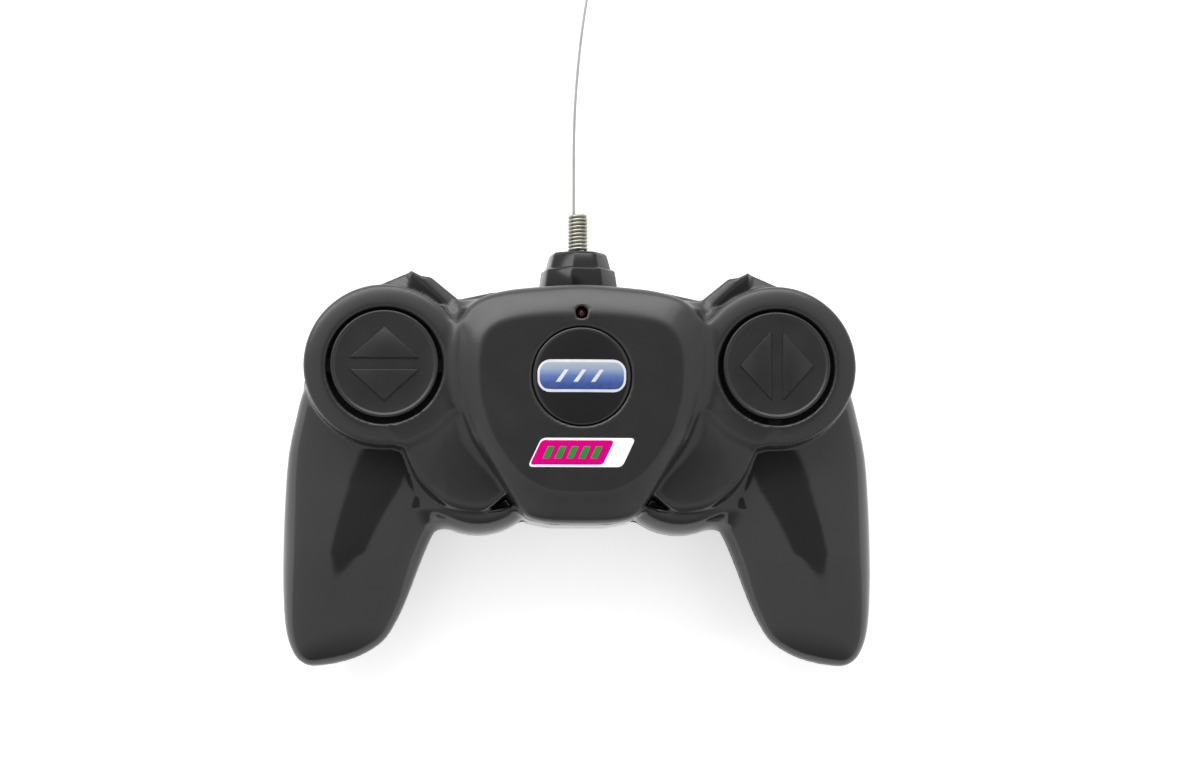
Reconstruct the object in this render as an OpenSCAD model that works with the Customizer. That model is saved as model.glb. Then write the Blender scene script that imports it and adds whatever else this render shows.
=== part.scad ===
// Handheld radio transmitter with two rocker pads and a sprung wire antenna.
// It lies on its back: X runs across it, +Y points along the antenna and +Z out of the front.
// The origin is the middle of the flat on the back that it rests on.

/* [Housing] */
// Height of the parting plane between the front and rear shells
split_z = 17; // [16:0.5:18]
// Height of the flat of the centre panel
panel_z = 39; // [38.5:0.5:40]
// Height of the wings between the centre panel and the rocker bosses
wing_z = 31; // [30.5:0.25:31.5]
// Wall thickness of both shells
wall = 2.2; // [2:0.1:2.4]

/* [Rocker pads] */
// Distance of each rocker's centre from the middle of the housing
boss_x = 49.4; // [49:0.1:50]
// Distance of the rockers towards the antenna
boss_y = 7.4; // [7:0.1:7.8]
// Outer radius of the round boss that holds a rocker
boss_r = 19.9; // [19.7:0.1:20.2]
// Radius of the round opening in a boss
boss_hole_r = 14.7; // [14.6:0.1:15]
// Height of the rim of that opening
boss_z = 35.4; // [35:0.2:35.8]
// Radius of a rocker pad
rocker_r = 13.5; // [13.3:0.1:13.6]
// Height of the face of a rocker pad
rocker_z = 36.2; // [36:0.1:36.4]

/* [Battery] */
// Length of the nine volt battery without its terminals
battery_l = 46.4; // [46:0.1:46.6]
// Width of the battery
battery_w = 26.2; // [25.8:0.1:26.5]
// Thickness of the battery
battery_h = 17; // [16.6:0.1:17.2]
// Thickness of the battery door
door_t = 1.6; // [1.4:0.1:1.7]

/* [Antenna] */
// Height of the coil spring at the foot of the antenna
spring_l = 9.4; // [9:0.1:10]
// Outer radius of that spring
spring_r = 2.5; // [2.4:0.05:2.6]
// Length of the steel wire above the spring
whip_l = 180; // [150:5:200]
// Radius of the steel wire
whip_r = 0.43; // [0.35:0.01:0.45]

/* [Hidden] */
$fn = 48;

// Small gap that keeps fitted pieces apart.
slack = 0.05;
// Overlap that makes a cut or a union clean.
eps = 0.1;

// A grip's outline is the hull of these circles: x, y, radius, height in front, depth behind.
GRIP = [
    [66.2, -59.5, 8.8, 8.5, 12.5],
    [56.5, -55.2, 10.2, 9.5, 14],
    [60, -32, 14.8, 12, 16.4],
    [46, -28, 10.7, 10.5, 13],
    [58.5, -2, 12.2, 12, 13],
    [47, -4, 12, 11, 13]
];
GRIP_STEPS = [0, 25, 48, 68, 84];

// Half of the centre panel's outline, from the top middle down to the bottom middle.
PANEL = [
    [0, 27.9], [9.8, 27.3], [18.6, 26.1], [25, 23.9], [28.6, 20.8], [30.2, 15.8], [30.7, 6.4],
    [29.8, -0.4], [27.7, -7.5], [24.1, -15.3], [18.4, -24.6], [14.9, -29.1], [12.8, -31.1],
    [6.9, -32.3]
];
PANEL_SLOPE = 6.5;

// The right wing's edge, from the panel round below the boss.
WING = [
    [0, 24.4], [21.6, 24.4], [35.4, 21.4], [49.2, -1.2], [46, -12], [44.3, -14], [42.7, -17.7],
    [40.9, -21.3], [38.4, -24], [34.8, -26.4], [30.5, -27.8], [25.6, -28.2], [19.7, -28],
    [9.8, -26.8], [0, -26.8]
];

// Back of the middle of the housing, and the right shoulder block.
MIDDLE = [
    [0, 27.4], [12, 27.1], [22.4, 26.5], [33, 24.2], [36, 20], [36, -20], [24, -24], [15, -30],
    [12.6, -31.6], [7, -32.6], [0, -32.9]
];
SHOULDER = [[53, 27.5], [42.9, 32.2], [40.6, 31.4], [28.3, 20.6], [37, 9], [53, 12]];

// Round lobe between each grip and the panel: its front rolls over to lobe_z.
lobe_x = 25.6;
lobe_y = -16.9;
lobe_r = 17.8;
lobe_roll = 7.5;
lobe_z = 29.2;

// Heights of the boss's side and back, how far its hole sits below its middle,
// and heights of the shoulder block's front and back.
boss_side_z = 31;
boss_back_z = 3;
hole_drop = 0.35;
shoulder_front_z = 29.5;
shoulder_back_z = 7;

// Posts inside the shells, and the bores that their screws cut into.
housing_post_r = 3;
housing_post_back_r = 3.8;
housing_bore_r = 1.35;
small_bore_r = 0.85;
board_post_r = 2.2;
ring_post_r = 1.8;
ring_post_top = 34;

// Main board, with its screw holes: x, y, height at which the post ends inside the front.
board_z = 23.2;
board_t = 1.6;
board_top = board_z + board_t;
BOARD_HOLES = [[26, 15, 36], [-26, 15, 36], [26, -15, 30], [-26, -15, 30]];

// Flat on the back that the transmitter stands on.
foot_w = 70;
foot_h = 44;

// Battery bay, its door and the door's hinge.
bay_w = 53.4;
bay_h = battery_w + 1.2;
bay_z = 19.8;
bay_wall = 1.5;
door_w = 60;
door_low_y = -17.4;
door_top_y = 15.3;
hinge_y = 16.15;
hinge_z = 0.8;
hinge_r = 0.75;
KNUCKLES = [-18, 18];
knuckle_w = 6;
thumb_r = 5.6;
thumb_up = 1.6;

// Height of a rocker's pivot pin, and its parts.
pivot_z = 29.3;
pin_r = 0.9;
pin_l = 31;
pusher_at = 9;
dome_top = 27;
ring_z = 27;
ring_t = 1.4;
ring_r = 17.3;
RING_SCREWS = [45, 135, 225, 315];
ring_screw_at = 15.9;

// Badge disc, a shallow dome, and the status lamp above it.
badge_y = 4.2;
badge_r = 12.3;
badge_depth = 1.6;
badge_dome_r = 93;
badge_edge_z = panel_z - 0.1;
badge_centre_z = badge_edge_z + 0.85 - badge_dome_r;
led_y = 20.3;
led_r = 1.5;

// Striped label below the badge.
label_y = -15;
label_w = 27;
label_h = 7.2;
label_t = 0.15;

// Antenna, from the socket between the shells up to the wire, with heights along +Y.
antenna_z = split_z;
knob_low_y = 28;
knob_step_y = 33.6;
knob_top_y = 38;
socket_r = 3.6;
socket_low_y = 17.6;
socket_top_y = 25.4;
collar_y = 20.8;
collar_r = 4.8;
collar_t = 1.6;
stud_r = 1.6;
block_w = 12;
block_l = 8;
block_low_y = 18.8;
block_front_t = 5.6;
spring_top_y = knob_top_y + spring_l;
spring_wire_r = 0.46;
spring_pitch = 0.96;
whip_x = -1.1;

// Battery, its two terminals, its snap and the insulated wires.
battery_x = -bay_w / 2 + 0.5;
battery_z = door_t + 0.3;
can_t = 1.3;
TERMINALS = [-6.35, 6.35];
terminal_r = 2.8;
terminal_h = 2;
lead_r = 0.6;
lead_x = bay_w / 2 - 5;
lead_y = 9;

// Screws through the rear shell: x, y, height at which the front shell's post ends.
SHELL_SCREWS = [
    [62, -49, 25.6], [-62, -49, 25.6],
    [49, -20.5, 27.2], [-49, -20.5, 27.2],
    [18, 20.6, 36.8], [-18, 20.6, 36.8]
];

plastic = [0.16, 0.16, 0.17];
gloss = [0.08, 0.08, 0.09];
steel = [0.75, 0.75, 0.72];
brass = [0.8, 0.65, 0.3];

// A half outline followed by its mirror image.
function mirrored(half) = concat(
    half,
    [for (i = [len(half) - 1:-1:0]) if (half[i].x > 0) [-half[i].x, half[i].y]]
);

// Closed curve through the points, with steps straight pieces between two of them.
function curve_point(a, b, c, d, t) =
    0.5 * (2 * b + (c - a) * t + (2 * a - 5 * b + 4 * c - d) * t * t + (3 * b - a - 3 * c + d) * t * t * t);
function closed_curve(p, steps) = let (n = len(p))
    [for (i = [0:n - 1]) for (k = [0:steps - 1])
        curve_point(p[(i + n - 1) % n], p[i], p[(i + 1) % n], p[(i + 2) % n], k / steps)];

module both_sides() {
    children();
    mirror([1, 0, 0]) children();
}

// Solid of revolution that rolls from a wall of radius r at z = low over to a flat at z = high.
module rolled_disc(r, low, high, roll, rise) {
    profile = concat(
        [[0, low], [r, low]],
        [for (a = [0:15:90]) [r - roll * (1 - cos(a)), high - rise * (1 - sin(a))]],
        [[0, high]]
    );
    rotate_extrude() polygon(profile);
}

// Front half (depth > 0) or back half of the right grip, taken in by inset all round.
module grip_half(column, way, inset) {
    hull() for (c = GRIP) for (a = GRIP_STEPS)
        translate([c.x, c.y, split_z + way * (c[column] - inset) * sin(a) - (way < 0 ? 0.02 : 0)])
            cylinder(r = (c[2] - inset) * cos(a), h = 0.02, $fn = 32);
}

module panel_solid(inset) {
    outline = closed_curve(mirrored(PANEL), 3);
    hull() {
        translate([0, 0, wing_z - 3.2]) linear_extrude(0.1) offset(delta = -inset) polygon(outline);
        translate([0, 0, panel_z - 4.2 - inset]) linear_extrude(0.1)
            offset(delta = -inset - 0.3) polygon(outline);
        translate([0, 0, panel_z - 1.1 - inset]) linear_extrude(0.1)
            offset(delta = -inset - PANEL_SLOPE + 3) polygon(outline);
        translate([0, 0, panel_z - inset - 0.1]) linear_extrude(0.1)
            offset(delta = -inset - PANEL_SLOPE) polygon(outline);
    }
}

module wing_outline(inset) {
    offset(delta = -inset) polygon(mirrored(WING));
}

// Everything in front of the parting plane, solid, taken in by inset.
module front_body(inset) {
    low = split_z - (inset > 0 ? eps : 0);
    both_sides() {
        grip_half(3, 1, inset);
        translate([lobe_x, lobe_y, 0])
            rolled_disc(lobe_r - inset, low, lobe_z - inset, lobe_roll, lobe_z - split_z - inset);
        translate([boss_x, boss_y, 0])
            rolled_disc(boss_r - inset, low, boss_z - inset, 2, boss_z - boss_side_z - inset);
        translate([0, 0, low]) linear_extrude(shoulder_front_z - inset - low)
            offset(delta = -inset) polygon(SHOULDER);
    }
    translate([0, 0, low]) linear_extrude(wing_z - 3 - inset - low)
        offset(delta = -inset) polygon(mirrored(MIDDLE));
    translate([0, 0, low]) linear_extrude(wing_z - inset - low) wing_outline(inset);
    panel_solid(inset);
}

// Everything behind the parting plane, solid, taken in by inset.
module rear_body(inset) {
    high = split_z + (inset > 0 ? eps : 0);
    both_sides() {
        grip_half(4, -1, inset);
        translate([lobe_x, lobe_y, 2 * split_z]) mirror([0, 0, 1])
            rolled_disc(lobe_r - inset, 2 * split_z - high, 2 * split_z - 2 - inset, 9, 12);
        translate([boss_x, boss_y, 2 * split_z]) mirror([0, 0, 1])
            rolled_disc(boss_r - inset, 2 * split_z - high, 2 * split_z - boss_back_z - inset, 8, 10);
        translate([0, 0, shoulder_back_z + inset]) linear_extrude(high - shoulder_back_z - inset)
            offset(delta = -inset) polygon(SHOULDER);
    }
    translate([0, 0, boss_back_z + inset]) linear_extrude(high - boss_back_z - inset)
        offset(delta = -inset) polygon(mirrored(MIDDLE));
    translate([-foot_w / 2 + inset, -foot_h / 2 + inset, inset])
        cube([foot_w - 2 * inset, foot_h - 2 * inset, high - inset]);
}

module at_boss(side) {
    translate([side * boss_x, boss_y, 0]) children();
}

module ring_screw_places() {
    for (a = RING_SCREWS) rotate(a) translate([ring_screw_at, 0, 0]) children();
}

// Room for the antenna socket, its collar and the stud, half of it in each shell.
module socket_seat() {
    along_antenna(socket_low_y - 2) cylinder(r = socket_r + 0.02, h = socket_top_y - socket_low_y + 2.1);
    along_antenna(collar_y - 0.1) cylinder(r = collar_r + 0.3, h = collar_t + 0.2);
    along_antenna(socket_top_y - 1) cylinder(r = stud_r + 0.5, h = 6);
}

module front_shell() {
    color(plastic) difference() {
        union() {
            difference() {
                front_body(0);
                front_body(wall);
            }
            // posts for the housing screws
            for (p = SHELL_SCREWS) translate([p.x, p.y, split_z])
                cylinder(r = housing_post_r, h = p.z - split_z);
            // posts for the board
            for (p = BOARD_HOLES) translate([p.x, p.y, board_top])
                cylinder(r = board_post_r, h = p.z - board_top);
            // posts for the rocker retainers
            for (side = [-1, 1]) at_boss(side) ring_screw_places() translate([0, 0, ring_z + ring_t])
                cylinder(r = ring_post_r, h = ring_post_top - ring_z - ring_t);
            // block that closes over the antenna socket
            translate([-block_w / 2, block_low_y, split_z]) cube([block_w, block_l, block_front_t]);
        }
        for (side = [-1, 1]) at_boss(side) translate([0, -hole_drop, boss_z - 8])
            cylinder(r = boss_hole_r, h = 10);
        translate([0, badge_y, panel_z - badge_depth]) cylinder(r = badge_r + 0.25, h = 4);
        translate([0, led_y, panel_z - 9]) cylinder(r = led_r + slack, h = 12);
        for (p = SHELL_SCREWS) translate([p.x, p.y, split_z - eps]) cylinder(r = housing_bore_r, h = 5.1);
        for (p = BOARD_HOLES) translate([p.x, p.y, board_top - eps]) cylinder(r = small_bore_r, h = 3.4);
        for (side = [-1, 1]) at_boss(side) ring_screw_places()
            translate([0, 0, ring_z]) cylinder(r = small_bore_r, h = 5.2);
        socket_seat();
    }
}

module rear_shell() {
    recess_w = door_w + 0.6;
    recess_h = door_t + 1.15;
    knuckle_room = knuckle_w + 1.2;
    color(plastic) difference() {
        union() {
            difference() {
                rear_body(0);
                rear_body(wall);
            }
            // battery bay
            translate([-bay_w / 2 - bay_wall, -bay_h / 2 - bay_wall, wall - eps])
                cube([bay_w + 2 * bay_wall, bay_h + 2 * bay_wall, bay_z + bay_wall - wall + eps]);
            // door rebate
            translate([-door_w / 2 - 2, door_low_y - 2, 1])
                cube([door_w + 4, hinge_y - door_low_y + 4.6, 2.6]);
            for (p = SHELL_SCREWS) translate([p.x, p.y, 5])
                cylinder(r = housing_post_back_r, h = split_z - 5);
            // block that carries the antenna socket
            translate([-block_w / 2, block_low_y, wall]) cube([block_w, block_l, split_z - wall]);
        }
        // opening and rebate of the battery bay
        translate([-bay_w / 2, -bay_h / 2, -1]) cube([bay_w, bay_h, bay_z + 1]);
        translate([-recess_w / 2, door_low_y - 0.3, -1])
            cube([recess_w, door_top_y + 0.95 - door_low_y, recess_h]);
        for (x = KNUCKLES) translate([x - knuckle_room / 2, 0, 0]) {
            translate([0, hinge_y, hinge_z]) rotate([0, 90, 0])
                cylinder(r = hinge_r + 0.08, h = knuckle_room);
            translate([0, door_top_y - 1, -1]) cube([knuckle_room, hinge_y - door_top_y + 2, hinge_z + 1]);
            translate([0, door_top_y - 1, -1]) cube([knuckle_room, hinge_y - door_top_y + 1, recess_h]);
        }
        // thumb notch at the latch
        translate([0, door_low_y - thumb_up, -1]) cylinder(r = thumb_r + 0.4, h = recess_h);
        for (p = SHELL_SCREWS) translate([p.x, p.y, -1]) {
            cylinder(r = 1.4, h = split_z + 2);
            cylinder(r = 2.9, h = 11);
        }
        socket_seat();
        // passage for the battery leads
        translate([lead_x, lead_y, bay_z - 2]) cylinder(r = 1.8, h = 5);
    }
}

module battery_door() {
    color(plastic) union() {
        difference() {
            translate([-door_w / 2, door_low_y, 0]) cube([door_w, door_top_y - door_low_y, door_t]);
            for (i = [0:4]) translate([-12, door_low_y + 3 + 1.6 * i, -eps]) cube([24, 0.7, 0.5]);
        }
        translate([0, door_low_y - thumb_up, 0]) intersection() {
            cylinder(r = thumb_r, h = door_t);
            translate([-6, -1, -1]) cube([12, 6, 4]);
        }
        for (x = KNUCKLES) {
            translate([x - knuckle_w / 2, hinge_y, hinge_z]) rotate([0, 90, 0])
                cylinder(r = hinge_r, h = knuckle_w);
            translate([x - knuckle_w / 2, door_top_y - 0.5, hinge_z - 0.5])
                cube([knuckle_w, hinge_y - door_top_y + 0.5, 1]);
        }
    }
}

// Raised triangle that points along +Y from the middle of a rocker.
module arrow(rise) {
    linear_extrude(rise) polygon([[-8.6, 1.4], [8.6, 1.4], [0, 9.4]]);
}

// Rocker that tilts about its own X axis.
module rocker_part() {
    color(plastic) difference() {
        union() {
            difference() {
                rotate_extrude() polygon([
                    [0, 33.2], [12.6, 31.4], [12.6, 33], [rocker_r, 33.2], [rocker_r, rocker_z - 0.5],
                    [rocker_r - 0.25, rocker_z - 0.1], [rocker_r - 0.6, rocker_z],
                    [rocker_r - 1, rocker_z - 0.1],
                    [rocker_r - 1.2, rocker_z - 0.35], [0, rocker_z - 0.35]
                ]);
                translate([0, 0, 30]) cylinder(r = 11.4, h = 3.2);
            }
            for (a = [0, 180]) rotate(a) translate([0, 0, rocker_z - 0.4]) arrow(0.5);
            translate([-7.5, 0, pivot_z]) rotate([0, 90, 0]) cylinder(r = 2.2, h = 15);
            translate([-7.5, -1.4, pivot_z]) cube([15, 2.8, 33.4 - pivot_z]);
            for (y = [-pusher_at, pusher_at]) translate([0, y, dome_top + 0.1])
                cylinder(r = 1.8, h = 33.4 - dome_top - 0.1);
        }
        translate([-8, 0, pivot_z]) rotate([0, 90, 0]) cylinder(r = pin_r + slack, h = 16);
    }
}

module retainer_part() {
    ear_half = 1.7;
    color(gloss) difference() {
        union() {
            translate([0, 0, ring_z]) cylinder(r = ring_r, h = ring_t);
            for (a = [0, 180]) rotate(a) translate([13, -ear_half, ring_z])
                cube([2.6, 2 * ear_half, pivot_z + pin_r + 0.7 - ring_z]);
        }
        translate([0, 0, ring_z - 1]) cylinder(r = 12.4, h = ring_t + 2);
        translate([-16.5, 0, pivot_z]) rotate([0, 90, 0]) cylinder(r = pin_r + 0.01, h = 33);
        ring_screw_places() translate([0, 0, ring_z - 1]) cylinder(r = 0.9, h = 4);
    }
}

module pin_part() {
    color(steel) translate([-pin_l / 2, 0, pivot_z]) rotate([0, 90, 0]) cylinder(r = pin_r, h = pin_l);
}

module keypad_part() {
    color([0.7, 0.7, 0.68]) {
        translate([-4, -13, board_top]) cube([8, 26, 0.8]);
        for (y = [-pusher_at, pusher_at]) translate([0, y, board_top + 0.7])
            cylinder(r1 = 3.4, r2 = 2.2, h = dome_top - board_top - 0.7);
    }
}

module left_rocker() { at_boss(-1) rocker_part(); }
module right_rocker() { at_boss(1) rotate(90) rocker_part(); }
module left_rocker_retainer() { at_boss(-1) retainer_part(); }
module right_rocker_retainer() { at_boss(1) rotate(90) retainer_part(); }
module left_pivot_pin() { at_boss(-1) pin_part(); }
module right_pivot_pin() { at_boss(1) rotate(90) pin_part(); }
module left_keypad() { at_boss(-1) keypad_part(); }
module right_keypad() { at_boss(1) rotate(90) keypad_part(); }

// Pan head screw that points up, with its head below z = 0.
module screw(shank_r, shank_l, head_r, head_h) {
    difference() {
        union() {
            cylinder(r = shank_r, h = shank_l);
            translate([0, 0, -head_h]) cylinder(r = head_r, h = head_h);
        }
        for (a = [0, 90]) rotate(a)
            translate([-head_r * 0.6, -head_r * 0.13, -head_h - eps])
                cube([head_r * 1.2, head_r * 0.26, head_h * 0.6]);
    }
}

module retainer_screws() {
    color(steel) for (side = [-1, 1]) at_boss(side) ring_screw_places()
        translate([0, 0, ring_z]) screw(0.8, 4.9, 1.5, 1);
}

module board_screws() {
    color(steel) for (p = BOARD_HOLES) translate([p.x, p.y, board_z]) screw(0.8, 4.6, 1.6, 1);
}

module shell_screws() {
    color(steel) for (p = SHELL_SCREWS) translate([p.x, p.y, 10]) screw(1.3, 11.8, 2.6, 1.8);
}

function badge_height(x) = badge_centre_z + sqrt(pow(badge_dome_r, 2) - x * x);

module badge_disc() {
    dome = [for (i = [0:8]) let (x = (badge_r - 0.3) * (1 - i / 8)) [x, badge_height(x)]];
    color(gloss) translate([0, badge_y, 0]) rotate_extrude($fn = 96)
        polygon(concat([[0, panel_z - badge_depth], [badge_r, panel_z - badge_depth],
            [badge_r, badge_height(badge_r) - 0.2]], dome));
}

// Rounded plate of the badge that follows the dome.
module badge_label() {
    color([0.2, 0.4, 0.75]) intersection() {
        translate([0, badge_y, panel_z - 1]) linear_extrude(4)
            offset(r = 2) square([18.6, 3.4], center = true);
        translate([0, badge_y, badge_centre_z]) difference() {
            sphere(r = badge_dome_r + 0.15, $fn = 128);
            sphere(r = badge_dome_r, $fn = 128);
        }
    }
}

module front_label() {
    slant = 2;
    x = label_w / 2;
    y = label_h / 2;
    color([0.8, 0.1, 0.5]) translate([0, label_y, panel_z]) linear_extrude(label_t)
        polygon([[-x, -y], [x - slant, -y], [x, y], [-x + slant, y]]);
}

module status_led() {
    tip_z = panel_z - 3.4;
    color([0.6, 0.05, 0.05]) translate([0, led_y, 0]) {
        translate([0, 0, tip_z - 3]) cylinder(r = led_r, h = 3);
        translate([0, 0, tip_z]) sphere(r = led_r);
        translate([0, 0, tip_z - 3.8]) cylinder(r = 1.45, h = 0.9);
        for (x = [-0.9, 0.9]) translate([x - 0.25, -0.25, board_top])
            cube([0.5, 0.5, tip_z - 3.4 - board_top]);
    }
}

module board_outline() {
    square([60, 34], center = true);
    translate([0, boss_y]) square([96, 16], center = true);
    translate([0, 19]) square([14, 8], center = true);
    for (side = [-1, 1]) translate([side * boss_x, boss_y]) circle(r = 14.2);
}

module main_board() {
    color([0.1, 0.35, 0.2]) difference() {
        translate([0, 0, board_z]) linear_extrude(board_t) board_outline();
        for (p = BOARD_HOLES) translate([p.x, p.y, board_z - 1]) cylinder(r = 0.9, h = 4);
        translate([lead_x, lead_y, board_z - 1]) cylinder(r = 1.6, h = 4);
    }
}

module encoder_chip() {
    color([0.06, 0.06, 0.07]) translate([-10, -8, board_top]) {
        translate([-4.5, -3, 0.4]) cube([9, 6, 2.2]);
        for (i = [0:6]) for (y = [-3.9, 2.9]) translate([-4.1 + 1.27 * i, y, 0]) cube([0.5, 1, 1.2]);
    }
}

module quartz_crystal() {
    color(steel) translate([8, -12, board_top]) {
        linear_extrude(3.5) hull() for (x = [-3.2, 3.2]) translate([x, 0]) circle(r = 2.2);
        linear_extrude(0.5) hull() for (x = [-3.2, 3.2]) translate([x, 0]) circle(r = 2.6);
    }
}

module shielded_coil(x, y) {
    translate([x, y, board_top]) difference() {
        translate([-3.5, -3.5, 0]) cube([7, 7, 8]);
        translate([0, 0, 6.5]) cylinder(r = 1.8, h = 3);
    }
}

module tuning_coil() { color(steel) shielded_coil(16, 8); }
module output_coil() { color(steel) shielded_coil(-14, 10); }

module filter_capacitor() {
    color([0.1, 0.1, 0.35]) translate([16, -3, board_top]) cylinder(r = 2.5, h = 7);
}

module transistors() {
    color(gloss) for (p = [[-20, -1], [6, 12]]) translate([p.x, p.y, board_top]) difference() {
        cylinder(r = 2.3, h = 4.6);
        translate([-3, 1, -1]) cube([6, 4, 7]);
    }
}

module resistors() {
    color([0.8, 0.7, 0.5]) for (i = [0:4]) translate([-3 + 3.4 * i, 1.5, board_top + 1])
        rotate([90, 0, 0]) cylinder(r = 0.9, h = 5);
}

module ceramic_capacitors() {
    color([0.75, 0.45, 0.15]) for (p = [[-22, 8], [0, 6.5], [22, -8]])
        translate([p.x - 0.9, p.y, board_top + 2.4]) rotate([0, 90, 0]) cylinder(r = 2.4, h = 1.8);
}

module antenna_socket() {
    color(brass) difference() {
        union() {
            along_antenna(socket_low_y) cylinder(r = socket_r, h = socket_top_y - socket_low_y);
            along_antenna(collar_y) cylinder(r = collar_r, h = collar_t);
        }
        along_antenna(socket_low_y - 1) cylinder(r = stud_r + slack, h = 12);
    }
}

// Insulated wire from the board down to the socket's solder face.
module antenna_lead() {
    drop = board_z - antenna_z - 2.4;
    color([0.15, 0.15, 0.6]) translate([0, socket_low_y - 0.7, antenna_z + 2.4]) {
        translate([4, 0, 0]) cylinder(r = lead_r, h = drop, $fn = 24);
        translate([4, 0, 0]) sphere(r = lead_r, $fn = 24);
        translate([1.8, 0, 0]) rotate([0, 90, 0]) cylinder(r = lead_r, h = 2.2, $fn = 24);
    }
}

module along_antenna(y) {
    translate([0, y, antenna_z]) rotate([-90, 0, 0]) children();
}

module antenna_knob() {
    color(gloss) along_antenna(knob_low_y) rotate(-11.5) difference() {
        union() {
            cylinder(r1 = 10.1, r2 = 9.4, h = knob_step_y - knob_low_y, $fn = 8);
            translate([0, 0, knob_step_y - knob_low_y - 0.01])
                cylinder(r1 = 8.3, r2 = 7.2, h = knob_top_y - knob_step_y + 0.01, $fn = 8);
        }
        translate([0, 0, -1]) cylinder(r = stud_r + 0.01, h = 20);
    }
}

module antenna_stud() {
    color(steel) along_antenna(socket_low_y) cylinder(r = stud_r, h = knob_top_y + 1.6 - socket_low_y);
}

// Close wound coil, drawn as its ribbed tube.
module antenna_spring() {
    turns = floor(spring_l / spring_pitch);
    color(steel) along_antenna(knob_top_y) rotate_extrude() {
        for (i = [0:turns - 1]) translate([spring_r - spring_wire_r, spring_wire_r + i * spring_pitch])
            circle(r = spring_wire_r, $fn = 24);
        translate([spring_r - 1.35 * spring_wire_r, spring_wire_r])
            square([0.7 * spring_wire_r, (turns - 1) * spring_pitch]);
    }
}

module antenna_ferrule() {
    color(steel) along_antenna(spring_top_y - 2.4) difference() {
        cylinder(r = 1.55, h = 2.2);
        translate([whip_x, 0, -1]) cylinder(r = whip_r + 0.005, h = 5);
    }
}

// Sideways set of the wire at a height above the spring: straight, then a slight bend to a lean.
bend_from = 16;
bend_to = 58;
lean = 0.165;
function whip_bend(h) =
    h < bend_from ? 0 :
    h < bend_to ? lean * pow(h - bend_from, 2) / (2 * (bend_to - bend_from)) :
    lean * (h - (bend_from + bend_to) / 2);
whip_rings = 40;
whip_sides = 8;
function whip_height(i) = let (l = whip_l + 2) -2 + l * i / whip_rings;
function whip_points() = [
    for (i = [0:whip_rings]) let (h = whip_height(i)) for (k = [0:whip_sides - 1])
        let (a = 360 * k / whip_sides + 22.5)
            [whip_x + whip_bend(h) + whip_r * cos(a), spring_top_y + h, antenna_z + whip_r * sin(a)]
];
function whip_faces() = concat(
    [[for (k = [0:whip_sides - 1]) k]],
    [for (i = [0:whip_rings - 1]) for (k = [0:whip_sides - 1]) let (n = (k + 1) % whip_sides)
        [i * whip_sides + k, (i + 1) * whip_sides + k, (i + 1) * whip_sides + n, i * whip_sides + n]],
    [[for (k = [whip_sides - 1:-1:0]) whip_rings * whip_sides + k]]
);

module antenna_whip() {
    color(steel) polyhedron(points = whip_points(), faces = whip_faces(), convexity = 4);
}

module antenna_tip() {
    color(gloss) translate([whip_x + whip_bend(whip_l), spring_top_y + whip_l, antenna_z])
        rotate([-90, 0, -atan(lean)]) {
            cylinder(r = 1.1, h = 3);
            translate([0, 0, 3]) sphere(r = 1.5);
        }
}

module battery() {
    color([0.25, 0.25, 0.28]) difference() {
        translate([battery_x, -battery_w / 2, battery_z]) cube([battery_l, battery_w, battery_h]);
        translate([battery_x + can_t, -battery_w / 2 + can_t, battery_z + can_t])
            cube([battery_l - 2 * can_t, battery_w - 2 * can_t, battery_h - 2 * can_t]);
    }
}

// Both terminals, or with room the sockets for them.
module terminal_pair(room) {
    for (y = TERMINALS) translate([battery_x + battery_l, y, battery_z + battery_h / 2]) rotate([0, 90, 0])
        cylinder(r = terminal_r + room, h = terminal_h + 2 * room);
}

module battery_terminals() {
    color(steel) terminal_pair(0);
}

module battery_snap() {
    color(gloss) difference() {
        translate([battery_x + battery_l + 0.4, -11.5, battery_z + 3]) cube([5.4, 23, 11]);
        terminal_pair(slack);
    }
}

// Lead from the snap up through the bay's roof to the board.
module battery_lead(side, c) {
    color(c) translate([lead_x, lead_y + side * 0.8, battery_z + 14])
        cylinder(r = lead_r, h = board_top + 0.6 - battery_z - 14, $fn = 24);
}

module battery_lead_red() { battery_lead(1, [0.7, 0.05, 0.05]); }
module battery_lead_black() { battery_lead(-1, [0.05, 0.05, 0.05]); }

// Each node on its own, or all together.
front_shell();
rear_shell();
battery_door();
left_rocker();
right_rocker();
left_rocker_retainer();
right_rocker_retainer();
left_pivot_pin();
right_pivot_pin();
left_keypad();
right_keypad();
retainer_screws();
badge_disc();
badge_label();
front_label();
status_led();
main_board();
board_screws();
encoder_chip();
quartz_crystal();
tuning_coil();
output_coil();
filter_capacitor();
transistors();
resistors();
ceramic_capacitors();
antenna_socket();
antenna_lead();
antenna_knob();
antenna_stud();
antenna_spring();
antenna_ferrule();
antenna_whip();
antenna_tip();
battery();
battery_terminals();
battery_snap();
battery_lead_red();
battery_lead_black();
shell_screws();
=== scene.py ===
"""Looks of the handheld radio transmitter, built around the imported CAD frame."""
import math
from functools import reduce

import bmesh
import bpy
import numpy as np
from mathutils import Matrix, Vector


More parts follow.
